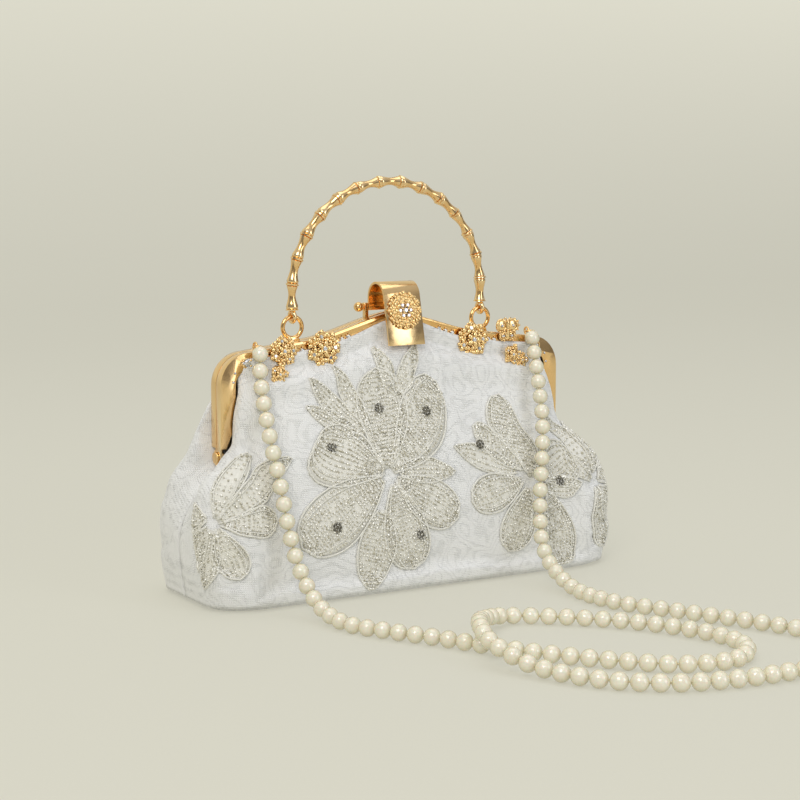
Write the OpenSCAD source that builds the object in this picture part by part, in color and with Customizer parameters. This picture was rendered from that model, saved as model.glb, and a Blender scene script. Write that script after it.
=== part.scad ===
// Evening bag: a framed brocade clutch with a lift-over clasp, a bamboo-form handle and a pearl strap.
// Millimetres. X runs along the width, the front faces -Y, Z is up, the origin is the middle of the base.
// The front half of the metal frame carries the bag; the back half hinges on two side rivets.

/* [Frame] */
// Half of the closed frame's outside width
frame_half_w = 99; // [82:0.5:112]
// Height of the hinge rivets above the base
hinge_z = 69; // [60:1:78]
// Height of the top rail where it leaves the shoulder
shoulder_z = 120; // [108:1:144]
// Outside radius of the frame's shoulder bend
shoulder_r = 16; // [13:0.1:20]
// Rise of the rail towards the middle, as a slope
rail_slope = 0.13; // [0.05:0.01:0.2]
// Height of the crest under the clasp
crest_h = 5.5; // [2:0.5:8]
// Half of the crest's width
crest_half_w = 50; // [35:1:60]
// Thickness of each half of the frame, front to back
channel_depth = 5.3; // [4.6:0.02:7]
// Thickness of the sheet the channels are folded from
sheet = 1; // [0.8:0.1:1.2]
// Height of the channel's visible face
face_w = 8; // [6.5:0.5:10]
// Height of the channel's inner lip
lip_w = 5; // [4:0.5:6]
// Radius of the hinge rivets
rivet_r = 1.5; // [1.2:0.1:2]
// Radius of the round hinge ears
ear_r = 4; // [3.5:0.5:5]

/* [Body] */
// Half of the base's width
base_half_w = 113.5; // [100:0.1:137]
// Half of the base's depth
base_half_d = 36; // [28:1:45]
// How far the belly swells past the base at each side
belly = 3.5; // [0:0.5:6]
// Thickness of the base panel
base_t = 2.5; // [2:0.5:4]
// Thickness of the padded outer wall
wall = 2.5; // [1.5:0.5:3]
// Thickness of the satin lining
lining_t = 0.8; // [0.6:0.1:1.2]
// Thickness of the beaded lace
lace_t = 1.3; // [0.8:0.1:1.6]

/* [Handle] */
// Half of the distance between the handle's feet
handle_half_w = 55.5; // [45:0.1:67]
// Height of the arch from its pivot to the middle of the tube
handle_rise = 66; // [60:1:85]
// Radius of the handle's tube
handle_r = 2.7; // [2:0.1:3.5]
// How far each knot stands out from the tube
knot_rise = 0.7; // [0.4:0.1:1]
// Number of knots along the arch
knot_n = 13; // [7:2:21]
// Radius of the round lugs to the middle of their wire
lug_r = 5.3; // [4.5:0.1:6.5]
// Radius of the lugs' wire
lug_wire_r = 1.1; // [0.9:0.1:1.3]

/* [Clasp] */
// Half of the clasp tongue's width
tongue_half_w = 10.5; // [8:0.5:12]
// Room between the frame's face and the tongue where it starts down
tongue_gap = 3.7; // [3.5:0.1:6]
// Lean of the front plate away from the frame, in degrees
tongue_lean = 12; // [11:1:14]
// How far the front plate hangs below the rail
plate_drop = 8; // [5:0.5:10]
// Thickness of the tongue
tongue_t = 1.2; // [1:0.1:1.4]
// Radius of the clasp's hinge pin
pin_r = 0.9; // [0.8:0.1:1.2]

/* [Strap] */
// Diameter of one pearl
pearl_d = 8; // [6:0.5:8]

/* [Hidden] */
$fn = 48;

gold = "#E3B25C";
silk = "#ECECE8";
satin = "#F3EFE4";
lace = "#D9D8CC";
pearl = "#F3EFDF";
crystal = "#E6F0FA";

half_gap = 0.2;          // from the parting plane to each half of the frame
running = 0.05;          // radial clearance of a turning pin
clear = 0.3;             // between pieces that pass each other
fit_gap = 0.02;          // between pieces that are assembled face to face
face_y = half_gap + channel_depth;
rail_end_x = frame_half_w - shoulder_r;
shoulder_c = shoulder_z - shoulder_r;
leg_z = hinge_z + ear_r + 0.8;       // where the channel's flanges stop above the ears
trim_t = 0.5;
trim_half_w = rail_end_x - 8;      // the trim stops short of the strap's eyes

function crest(x) = abs(x) < crest_half_w ? crest_h*(1 + cos(180*x/crest_half_w))/2 : 0;
function rail_z(x) = shoulder_z + rail_slope*(rail_end_x - abs(x)) + crest(x);
function span(a, b, n) = [for (i = [0:n]) a + (b - a)*i/n];
function reversed(v) = [for (i = [len(v) - 1:-1:0]) v[i]];
function mirrored(v) = [for (p = v) [-p[0], p[1]]];

// Right half of the frame's outline, set in by a distance, from the leg's foot to the middle of the rail
function half_outline(inset, foot) = concat(
    [[frame_half_w - inset, foot]],
    [for (a = span(0, 82, 8))
        [rail_end_x + (shoulder_r - inset)*cos(a), shoulder_c + (shoulder_r - inset)*sin(a)]],
    [for (x = span(rail_end_x, 0, 24)) [x, rail_z(x) - inset]]);
function outline(inset, foot) =
    concat(half_outline(inset, foot), reversed(mirrored(half_outline(inset, foot))));

module slab(y0, y1) {
    translate([0, y1, 0]) rotate([90, 0, 0]) linear_extrude(y1 - y0) children();
}
module band(near, far, foot) {
    polygon(concat(outline(near, foot), reversed(outline(far, foot))));
}
module ring(r, wire) {
    rotate_extrude($fn = 40) translate([r, 0]) circle(wire, $fn = 24);
}
module both_sides() {
    children();
    mirror([1, 0, 0]) children();
}

// ---------- metal frame ----------
ear_in = 2*sheet + clear;            // inner ear's inside face, measured in from the frame's edge

module leg_taper() {
    both_sides() polygon([
        [frame_half_w - face_w - 1, leg_z - 1], [frame_half_w - face_w - 1, leg_z + 12],
        [frame_half_w - face_w, leg_z + 12], [frame_half_w - 2.4, leg_z - 1]]);
}
// One half of the frame above its ears, drawn for the front; the back half is its mirror image
module channel() {
    slab(-face_y, -face_y + sheet) difference() {
        band(0, face_w, leg_z);
        leg_taper();
    }
    slab(-face_y, -half_gap) band(0, sheet, leg_z);
    slab(-half_gap - sheet, -half_gap) band(0, lip_w, leg_z);
}
module ear(x0, x1) {
    translate([x0, 0, hinge_z]) rotate([0, 90, 0]) cylinder(r = ear_r, h = x1 - x0);
}
module rivet_hole(r) {
    translate([frame_half_w - 8, 0, hinge_z]) rotate([0, 90, 0]) cylinder(r = r, h = 16);
}
module front_channel() color(gold) {
    channel();
    both_sides() difference() {
        union() {
            ear(frame_half_w - sheet, frame_half_w);
            translate([frame_half_w - sheet, -face_y + 1.3, hinge_z])
                cube([sheet, face_y - 1.3 - half_gap, leg_z - hinge_z]);
        }
        rivet_hole(rivet_r);
    }
}
module back_channel() color(gold) {
    mirror([0, 1, 0]) channel();
    both_sides() {
        difference() {
            union() {
                ear(frame_half_w - ear_in, frame_half_w - sheet - clear);
                translate([frame_half_w - ear_in, half_gap, hinge_z])
                    cube([sheet, face_y - half_gap - 1.3, leg_z - hinge_z + 3]);
            }
            rivet_hole(rivet_r + running);
        }
        translate([frame_half_w - ear_in, half_gap + sheet, leg_z])
            cube([ear_in, face_y - half_gap - sheet - 1.3, 3]);
    }
}
module hinge_rivets() color(gold) both_sides() translate([frame_half_w, 0, hinge_z]) rotate([0, 90, 0]) {
    translate([0, 0, -ear_in - 1.1]) cylinder(r = rivet_r, h = ear_in + 2.2);
    translate([0, 0, fit_gap]) cylinder(r = rivet_r + 1.4, h = 1.1);
    translate([0, 0, -ear_in - 1.1]) cylinder(r = rivet_r + 1, h = 1);
}
// Cast strip soldered on the front rail, with a raised edge above and below a recessed bed
module front_trim_strip() color(gold) {
    slab(-face_y - trim_t, -face_y - fit_gap) rail_strip(0.5, face_w - 0.5);
    slab(-face_y - 2*trim_t, -face_y - trim_t) rail_strip(0.3, 1.5);
    slab(-face_y - 2*trim_t, -face_y - trim_t) rail_strip(face_w - 1.5, face_w - 0.3);
}
module rail_strip(near, far) {
    xs = span(-trim_half_w, trim_half_w, 40);
    polygon(concat([for (x = xs) [x, rail_z(x) - near]], [for (x = reversed(xs)) [x, rail_z(x) - far]]));
}
// Paper cord pressed into a channel beside the cloth
module packing(y0, y1) {
    slab(y0, y1) rail_strip(sheet + 0.2, sheet + 1);
}
module front_packing_cord() color(satin) packing(-face_y + sheet + 0.1, -half_gap - sheet - 0.1);
module back_packing_cord() color(satin) packing(half_gap + sheet + 0.1, face_y - sheet - 0.1);

// ---------- cast ornaments on the front rail ----------
orn_y = -face_y - 2*trim_t - fit_gap;

module at_rail(x, drop, y = orn_y) {
    translate([x, y, rail_z(x) - drop]) rotate([90, 0, 0]) children();
}
// Five round petals round a raised heart
module blossom(r, t) {
    linear_extrude(t) for (i = [0:4]) rotate(90 + 72*i) translate([r*0.58, 0]) circle(r*0.42, $fn = 24);
    cylinder(r = r*0.5, h = t);
    translate([0, 0, t]) sphere(r*0.22, $fn = 20);
}
outer_x = trim_half_w - 9;           // middle of the outer ornaments
inner_x = outer_x - 22;              // middle of the inner blossoms
stem_h = 4.4;                        // the low blossoms stand on stems, clear of the cloth
low_y = orn_y - 3.7;
module left_outer_blossom() color(gold) {
    at_rail(-outer_x, 2.2) blossom(7.5, 1.8);
    at_rail(-outer_x - 3, 7.2) cylinder(r = 1.6, h = stem_h);
    at_rail(-outer_x - 4, 12.5, low_y) blossom(5, 1.6);
}
module right_outer_blossom() color(gold) {
    at_rail(outer_x + 1, 7) cylinder(r = 1.6, h = stem_h);
    at_rail(outer_x + 1, 10.5, low_y) blossom(5.5, 1.6);
    at_rail(outer_x + 7, 13, low_y) blossom(4, 1.4);
}
module left_inner_blossom() color(gold) at_rail(-inner_x, 5) blossom(9, 2);
module right_inner_blossom() color(gold) at_rail(inner_x, 5) blossom(9, 2);
module butterfly() color(gold) at_rail(outer_x, 1) {
    linear_extrude(1.6) {
        for (s = [-1, 1]) translate([s*3.4, 5.4]) circle(3.8, $fn = 28);
        for (s = [-1, 1]) translate([s*2.6, 0]) circle(2.8, $fn = 28);
    }
    translate([0, -2.4, 1.2]) rotate([-90, 0, 0]) cylinder(r = 1, h = 11, $fn = 20);
}
// Stones beside each inner blossom, towards the clasp and towards the outer ornaments
stone_xs = [-inner_x - 10.9, -inner_x + 11.5, -inner_x + 15.3,
    inner_x - 19.5, inner_x - 15.5, inner_x - 11.5, inner_x + 10.9, inner_x + 14.5];
module stone(r) {
    cylinder(r = r, h = r*0.5, $fn = 20);
}
module frame_stones() color(crystal)
    for (x = stone_xs) at_rail(x, face_w/2, -face_y - trim_t - fit_gap) stone(1.6);
module shoulder_stones() color(crystal) both_sides()
    translate([rail_end_x + 2, -face_y - fit_gap, shoulder_c + shoulder_r - face_w/2 - 1])
        rotate([90, 0, 0]) stone(2.6);
catch_drop = face_w/2;
module catch_plate() color("silver")
    at_rail(0, catch_drop, -face_y - trim_t - fit_gap) cylinder(r = 2.3, h = 1, $fn = 32);

// ---------- strap fittings ----------
eye_x = rail_end_x - 3;
eye_r = 1.8;
eye_wire = 0.55;
jump_r = 2.4;
jump_wire = 0.5;
eye_pos = [eye_x, -face_y + eye_wire, rail_z(eye_x) + eye_r + eye_wire + 0.1];
jump_pos = [eye_x, eye_pos[1] - jump_r - 0.3, eye_pos[2]];
module strap_eye() {
    translate(eye_pos) rotate([0, 90, 0]) ring(eye_r, eye_wire);
}
module left_strap_eye() color(gold) mirror([1, 0, 0]) strap_eye();
module right_strap_eye() color(gold) strap_eye();
module jump_ring() {
    translate(jump_pos) ring(jump_r, jump_wire);
}
module left_jump_ring() color(gold) mirror([1, 0, 0]) jump_ring();
module right_jump_ring() color(gold) jump_ring();
// Cap over the first pearl
module bead_cap() {
    translate([eye_x, jump_pos[1] - jump_r + 0.1, jump_pos[2] - jump_wire - 1.3])
        cylinder(r1 = 2.2, r2 = 1, h = 0.9, $fn = 32);
}
module left_bead_cap() color(gold) mirror([1, 0, 0]) bead_cap();
module right_bead_cap() color(gold) bead_cap();

// ---------- soft body ----------
// Each wall is swept over t, from the base to the rail, and s, from the left seam (-1) to the right (1)
straight_end = 0.72;
corner_end = 0.9;
corner_w = 24;
panel_foot = base_t + fit_gap;
top_in = 2.2;                        // how far the cloth stops below the outside of the rail
in_channel = channel_depth - sheet - 0.1;   // outside of the cloth where it is held in the channel
half_w_t = [[0, base_half_w], [0.15, base_half_w + 0.7*belly], [0.33, base_half_w + belly],
    [0.47, base_half_w - 0.5], [0.56, frame_half_w + 8], [0.64, frame_half_w + 4], [0.74, frame_half_w],
    [0.82, frame_half_w - 5], [0.9, frame_half_w - 13], [1, frame_half_w - 13]];
half_d_t = [[0, base_half_d], [0.15, base_half_d*1.04], [0.33, base_half_d*0.97], [0.5, base_half_d*0.82],
    [0.66, base_half_d*0.61], [0.8, base_half_d*0.42], [0.88, 9], [0.925, in_channel], [1, in_channel]];
seam_y_t = [[0, 0.1], [0.5, 0.1], [0.56, face_y + 0.7], [0.88, face_y + 0.7], [0.925, half_gap + sheet + 0.4],
    [1, half_gap + sheet + 0.4]];
notch_t = [[0, 0], [0.25, 0], [0.42, 6], [0.5, base_half_w - frame_half_w + 1.5], [0.56, 8 + face_w + 0.5],
    [0.64, 4 + face_w + 0.5], [0.74, face_w + 0.5], [0.82, face_w - 4.5], [0.9, 0], [1, 0]];

function column_top(s) = rail_z(88*min(1, abs(s)/0.8)) - top_in;
function sgn(s) = s < 0 ? -1 : 1;
function wall_point(t, s, off) =
    let (w = lookup(t, half_w_t) - off, y0 = lookup(t, seam_y_t),
        d = max(0, lookup(t, half_d_t) - y0 - off),
        ry = min(16, 0.8*d), rx = min(corner_w, w/3), a = abs(s),
        c = 90*(a - straight_end)/(corner_end - straight_end),
        k = (a - corner_end)/(1 - corner_end), z = panel_foot + t*(column_top(s) - panel_foot))
    a <= straight_end ? [sgn(s)*a/straight_end*(w - rx), -y0 - d, z]
    : a <= corner_end ? [sgn(s)*(w - rx + rx*sin(c)), -y0 - d + ry*(1 - cos(c)), z]
    : [sgn(s)*(w - lookup(t, notch_t)*k), -y0 - (d - ry)*(1 - k), z];
wall_s = concat([-1, -0.95, -0.9, -0.86, -0.81, -0.765], span(-0.72, 0.72, 12),
    [0.765, 0.81, 0.86, 0.9, 0.95, 1]);

// Closed shell between two offsets of the wall, from height t0 to t1
module wall_shell(t0, t1, n, outside, inside, ss = wall_s) {
    ts = span(t0, t1, n);
    w = len(ss);
    h = len(ts);
    skin = [for (t = ts) for (s = ss) wall_point(t, s, outside)];
    back = [for (t = ts) for (s = ss) wall_point(t, s, inside)];
    m = w*h;
    function quad(a, b, c, d) = [[a, b, c], [a, c, d]];
    grid = [for (j = [0:h - 2]) for (i = [0:w - 2]) let (p = j*w + i)
        each concat(quad(p, p + w, p + w + 1, p + 1),
            quad(m + p, m + p + 1, m + p + w + 1, m + p + w))];
    foot = [for (i = [0:w - 2]) each quad(i, i + 1, m + i + 1, m + i)];
    head = [for (i = [0:w - 2]) let (p = (h - 1)*w + i) each quad(p, m + p, m + p + 1, p + 1)];
    left = [for (j = [0:h - 2]) let (p = j*w) each quad(p, m + p, m + p + w, p + w)];
    right = [for (j = [0:h - 2]) let (p = j*w + w - 1) each quad(p, p + w, m + p + w, m + p)];
    polyhedron(concat(skin, back), concat(grid, foot, head, left, right));
}
split_t = 0.5;
module front_panel() color(silk) wall_shell(0, 1, 20, 0, wall);
module back_panel() color(silk) mirror([0, 1, 0]) wall_shell(0, split_t, 8, 0, wall);
module back_panel_mouth() color(silk) mirror([0, 1, 0]) wall_shell(split_t + 0.005, 1, 12, 0, wall);
lining_s = concat([-0.92, -0.9, -0.81], span(-0.72, 0.72, 6), [0.81, 0.9, 0.92]);
lining_gap = 0.5;
lining_out = wall + lining_gap;
lining_top = 0.86;
module lining_front() color(satin)
    wall_shell(0.05, lining_top, 9, lining_out, lining_out + lining_t, lining_s);
module lining_back() color(satin) mirror([0, 1, 0])
    wall_shell(0.05, split_t, 5, lining_out, lining_out + lining_t, lining_s);
module lining_mouth() color(satin) mirror([0, 1, 0])
    wall_shell(split_t + 0.005, lining_top, 5, lining_out, lining_out + lining_t, lining_s);
pocket_out = lining_out + lining_t + 0.4;
module inner_pocket() color(satin) mirror([0, 1, 0])
    wall_shell(0.15, 0.45, 3, pocket_out, pocket_out + lining_t, span(-0.4, 0.4, 4));

function base_outline(off) = let (front = [for (s = wall_s) wall_point(0, s, off)])
    concat([for (p = front) [p[0], p[1]]], [for (p = reversed(front)) [p[0], -p[1]]]);
module base_panel() color(silk) linear_extrude(base_t) polygon(base_outline(0));
module base_board() color("burlywood")
    translate([0, 0, panel_foot]) linear_extrude(1.6) polygon(base_outline(wall + 1));

// ---------- beaded lace appliques, laid on the front wall ----------
// A flower outline on the wall: centre (x, z), petals, radius and how deep the petals are cut, in mm
function s_of(x) = sgn(x)*min(abs(x)/(base_half_w - corner_w)*straight_end,
    straight_end + (abs(x) - base_half_w + corner_w)/(corner_w + 8)*(corner_end - straight_end));
function t_of(z) = (z - panel_foot)/(shoulder_z + 4 - panel_foot);
function petal_r(a, n, cut) = 1 - cut*pow(abs(sin(a*n/2)), 1.6);
lace_gap = 0.6;                      // the lace lies this far off the cloth, on its stitches
module lace_patch(x, z, rx, rz, n, cut, turn, rings = 8, sides = 40) {
    function at(k, i, off) = let (a = 360*i/sides, r = petal_r(a + turn, n, cut)*k/rings)
        wall_point(t_of(z + rz*r*sin(a)), s_of(x + rx*r*cos(a)), off);
    outer = -lace_gap - lace_t;
    inner = -lace_gap;
    pts = concat([at(0, 0, outer)], [for (k = [1:rings]) for (i = [0:sides - 1]) at(k, i, outer)],
        [at(0, 0, inner)], [for (k = [1:rings]) for (i = [0:sides - 1]) at(k, i, inner)]);
    m = 1 + rings*sides;
    function id(k, i) = 1 + (k - 1)*sides + i % sides;
    caps = [for (i = [0:sides - 1]) let (a = id(1, i), b = id(1, i + 1))
        each [[0, b, a], [m, m + a, m + b]]];
    rows = [for (k = [1:rings - 1]) for (i = [0:sides - 1])
        let (a = id(k, i), b = id(k, i + 1), c = id(k + 1, i + 1), d = id(k + 1, i))
        each [[a, b, c], [a, c, d], [m + a, m + c, m + b], [m + a, m + d, m + c]]];
    rim = [for (i = [0:sides - 1]) let (a = id(rings, i), b = id(rings, i + 1))
        each [[a, b, m + b], [a, m + b, m + a]]];
    polyhedron(pts, concat(caps, rows, rim));
}
module centre_applique() color(lace) lace_patch(-24, 58, 50, 52, 8, 0.3, 22.5);
module left_applique() color(lace) lace_patch(-103, 42, 24, 32, 6, 0.3, 30);
module right_applique() color(lace) lace_patch(58, 50, 27, 42, 6, 0.35, 0);
module corner_applique() color(lace) lace_patch(104, 45, 15, 34, 4, 0.3, 45);
stone_spots = [[-26, 88], [9, 86], [-61, 71], [-50, 37], [-6, 29], [40, 66], [80, 46]];
module applique_stones() color(crystal) for (p = stone_spots)
    translate(wall_point(t_of(p[1]), s_of(p[0]), -lace_gap - lace_t - clear)) rotate([75, 0, 0]) stone(2);

// ---------- pearl strap ----------
// Route of the strand's middle from the left cap to the right cap: down the front, along the table in
// one loose loop that crosses over itself, round a turn on the right, and back up
strap_route = [[-80, -10.1, 119.4], [-82, -14.5, 107], [-84, -26, 85], [-83.5, -36, 62], [-82, -42, 40],
    [-80, -48.5, 22], [-80, -67, 8], [-79, -90, 4], [-70, -112, 4], [-57, -134, 4], [-46, -156, 4],
    [-33, -178, 4], [-14, -203, 4], [8, -224, 4], [33, -229, 4], [51, -214, 4], [52, -190, 4],
    [38, -160, 4], [16, -135, 4], [-8, -119, 4.5], [-30, -131, 8.5], [-46, -152, 12.2], [-54, -174, 10],
    [-49, -198, 5], [-36, -224, 4], [-14, -244, 4], [14, -253, 4], [45, -256, 4], [73, -257, 4],
    [95, -248, 4], [101, -228, 4], [92, -206, 4], [82, -182, 4], [64, -147, 4], [51, -118, 4],
    [51, -86, 5], [56, -57, 16], [62, -44, 39], [72, -31.5, 78], [80, -10.1, 119.4]];
function bend(a, b, c, d, u) =
    0.5*(2*b + u*(c - a) + u*u*(2*a - 5*b + 4*c - d) + u*u*u*(3*b - a - 3*c + d));
strap_n = len(strap_route);
function strap_at(i, u) =
    bend(strap_route[max(0, i - 1)], strap_route[i], strap_route[min(strap_n - 1, i + 1)],
    strap_route[min(strap_n - 1, i + 2)], u);
strap_path = concat([for (i = [0:strap_n - 2]) each [strap_at(i, 0), strap_at(i, 0.5)]],
    [strap_route[strap_n - 1]]);

// Round tube along a path; each ring's frame is the one before it, carried along without twisting
module tube(path, r, sides) {
    n = len(path);
    function along(i) = let (v = path[min(n - 1, i + 1)] - path[max(0, i - 1)]) v/norm(v);
    function square_to(p, v) = let (c = p - (p*v)*v) c/norm(c);
    across = [for (i = 0, p = square_to([1, 0, 0], along(0)); i < n;
        i = i + 1, p = i < n ? square_to(p, along(i)) : p) p];
    pts = [for (i = [0:n - 1]) let (p = across[i], q = cross(along(i), p))
        for (j = [0:sides - 1]) path[i] + r*(cos(360*j/sides)*p + sin(360*j/sides)*q)];
    side = [for (i = [0:n - 2]) for (j = [0:sides - 1]) let (a = i*sides + j, b = i*sides + (j + 1) % sides)
        each [[a, b, b + sides], [a, b + sides, a + sides]]];
    ends = concat([[for (j = [sides - 1:-1:0]) j]], [[for (j = [0:sides - 1]) (n - 1)*sides + j]]);
    polyhedron(pts, concat(side, ends));
}
module pearl_strap() color(pearl) tube(strap_path, pearl_d/2 - 0.1, 8);

// ---------- handle lugs, clasp bracket and what turns on them ----------
lug_y = 3;
lug_foot = 0.4;
lug_z = rail_z(handle_half_w) + lug_foot + lug_r + lug_wire_r;
grip_z = lug_z + lug_r;              // the handle turns about the tops of its lugs
module handle_lug() {
    translate([handle_half_w, lug_y, lug_z]) rotate([90, 0, 0]) ring(lug_r, lug_wire_r);
    difference() {
        slab(lug_y - 1.6, lug_y + 1.6) polygon([
            for (x = [-3.5, 3.5]) [handle_half_w + x, rail_z(handle_half_w + x) + fit_gap],
            [handle_half_w + 3, lug_z - lug_r], [handle_half_w - 3, lug_z - lug_r]]);
        translate([handle_half_w, lug_y + 2, lug_z]) rotate([90, 0, 0]) cylinder(r = lug_r - 0.2, h = 4);
    }
}
module left_handle_lug() color(gold) mirror([1, 0, 0]) handle_lug();
module right_handle_lug() color(gold) handle_lug();

eye_bore = lug_wire_r + 0.6;         // bore of the handle's feet, which turn on the tops of the lugs
eye_wide = 2;
arch_c = handle_rise - handle_half_w;    // height of the arch's centre over the pivot
module handle() color(gold) translate([0, lug_y, grip_z]) {
    translate([0, 0, arch_c]) rotate([90, 0, 0]) rotate_extrude(angle = 180, $fn = 96)
        translate([handle_half_w, 0]) circle(handle_r, $fn = 24);
    both_sides() translate([handle_half_w, 0, 0]) difference() {
        union() {
            translate([0, 0, eye_bore]) cylinder(r = handle_r - 0.5, h = arch_c - eye_bore);
            rotate([0, 90, 0]) cylinder(r = eye_bore + 2, h = eye_wide, center = true);
        }
        rotate([0, 90, 0]) cylinder(r = eye_bore, h = 2*eye_wide, center = true);
    }
}
// Collars round the tube that make it look like bamboo
module handle_knots() color(gold) translate([0, lug_y, grip_z + arch_c]) for (i = [0:knot_n - 1])
    rotate([0, -180*i/(knot_n - 1), 0]) translate([handle_half_w, 0, 0]) difference() {
        cylinder(r = handle_r + knot_rise, h = 2, center = true, $fn = 32);
        translate([-handle_half_w, 0, 0]) rotate([90, 0, 0]) rotate_extrude($fn = 96)
            translate([handle_half_w, 0]) circle(handle_r + 0.03, $fn = 24);
    }

pivot_y = face_y - 0.5;
knuckle_r = 2.1;
pivot_z = rail_z(0) + knuckle_r + clear;
bracket_x = tongue_half_w + 1.4;
bracket_w = 2;
module clasp_bracket() color(gold) both_sides() difference() {
    union() {
        translate([bracket_x, pivot_y, pivot_z]) rotate([0, 90, 0]) cylinder(r = knuckle_r, h = bracket_w);
        slab(pivot_y - knuckle_r, face_y) polygon([
            for (x = [bracket_x, bracket_x + bracket_w]) [x, rail_z(x) + fit_gap],
            [bracket_x + bracket_w, pivot_z], [bracket_x, pivot_z]]);
    }
    translate([bracket_x - 1, pivot_y, pivot_z]) rotate([0, 90, 0]) cylinder(r = pin_r, h = bracket_w + 2);
}
module clasp_pin() color(gold) translate([-bracket_x - bracket_w - 2, pivot_y, pivot_z])
    rotate([0, 90, 0]) cylinder(r = pin_r, h = 2*(bracket_x + bracket_w + 2));
module clasp_pin_knobs() color(gold) both_sides() difference() {
    translate([bracket_x + bracket_w + 2.6, pivot_y, pivot_z]) sphere(2.5, $fn = 32);
    translate([bracket_x, pivot_y, pivot_z]) rotate([0, 90, 0]) cylinder(r = pin_r, h = bracket_w + 2);
}

// Profile of the tongue seen from its side, u forward of the pin and z above it
bend_u = (pivot_y + face_y + tongue_gap)/2;
tongue_bend_r = bend_u + tongue_t;
bend_z = 4.7;
plate_foot = -knuckle_r - clear - face_w - plate_drop;
function bend_at(r, a) = [bend_u + r*cos(a), bend_z + r*sin(a)];
plate_top = bend_at(tongue_bend_r, tongue_lean);
plate_len = (plate_top[1] - plate_foot)/cos(tongue_lean);
function down_plate(p, l) = p + l*[sin(tongue_lean), -cos(tongue_lean)];
module tongue_profile() {
    polygon(concat(
        [[-tongue_t, 0]], [for (a = span(180, tongue_lean, 16)) bend_at(tongue_bend_r, a)],
        [down_plate(plate_top, plate_len)],
        [down_plate(bend_at(tongue_bend_r - tongue_t, tongue_lean), plate_len)],
        [for (a = span(tongue_lean, 180, 16)) bend_at(tongue_bend_r - tongue_t, a)], [[0, 0]]));
}
module at_pin() translate([0, pivot_y, pivot_z]) children();
module clasp_tongue() color(gold) at_pin() difference() {
    union() {
        rotate([90, 0, -90]) translate([0, 0, -tongue_half_w])
            linear_extrude(2*tongue_half_w) tongue_profile();
        translate([-tongue_half_w - 1, 0, 0]) rotate([0, 90, 0])
            cylinder(r = knuckle_r - 0.1, h = 2*tongue_half_w + 2);
    }
    translate([-tongue_half_w - 2, 0, 0]) rotate([0, 90, 0])
        cylinder(r = pin_r + running, h = 2*tongue_half_w + 4);
}
// Places its children on the plate's outer face, a distance down from the top of the plate
module on_plate(down, out = fit_gap) {
    p = down_plate(plate_top, down);
    at_pin() translate([0, -p[0] - out*cos(tongue_lean), p[1] + out*sin(tongue_lean)])
        rotate([90 - tongue_lean, 0, 0]) children();
}
module clasp_flower() color(gold) on_plate(8) {
    difference() {
        linear_extrude(1.2) {
            circle(7.4, $fn = 40);
            for (i = [0:7]) rotate(45*i) translate([7.2, 0]) circle(2.3, $fn = 20);
        }
        for (i = [0:7]) rotate(45*i + 22.5) translate([5.6, 0, -1]) cylinder(r = 0.8, h = 4, $fn = 16);
    }
}
module clasp_stones() color(crystal) on_plate(8, 1.2 + 2*fit_gap) {
    stone(1.7);
    for (i = [0:5]) rotate(60*i) translate([3.4, 0, 0]) stone(1.2);
}
magnet_down = (bend_z - (rail_z(0) - catch_drop - pivot_z))/cos(tongue_lean);
module clasp_magnet() color("silver") on_plate(magnet_down, -tongue_t - fit_gap) rotate([180, 0, 0])
    cylinder(r = 2.3, h = 0.8, $fn = 32);

front_channel();
front_trim_strip();
front_packing_cord();
hinge_rivets();
left_strap_eye();
right_strap_eye();
left_jump_ring();
right_jump_ring();
left_bead_cap();
right_bead_cap();
catch_plate();
left_outer_blossom();
left_inner_blossom();
right_inner_blossom();
right_outer_blossom();
butterfly();
frame_stones();
shoulder_stones();
front_panel();
back_panel();
base_panel();
base_board();
lining_front();
lining_back();
inner_pocket();
centre_applique();
left_applique();
right_applique();
corner_applique();
applique_stones();
pearl_strap();
back_channel();
back_packing_cord();
back_panel_mouth();
lining_mouth();
left_handle_lug();
right_handle_lug();
clasp_bracket();
clasp_pin();
clasp_pin_knobs();
handle();
handle_knots();
clasp_tongue();
clasp_flower();
clasp_stones();
clasp_magnet();
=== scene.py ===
# Evening bag: hinged gilt frame, padded brocade body with beaded lace, bamboo-form handle, pearl strap.
# Metres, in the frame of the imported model: +X to the right seen from the front, -Y out of the front, +Z up.
import math
import random

import bmesh
import bpy
from mathutils import Matrix, Vector, noise


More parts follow.
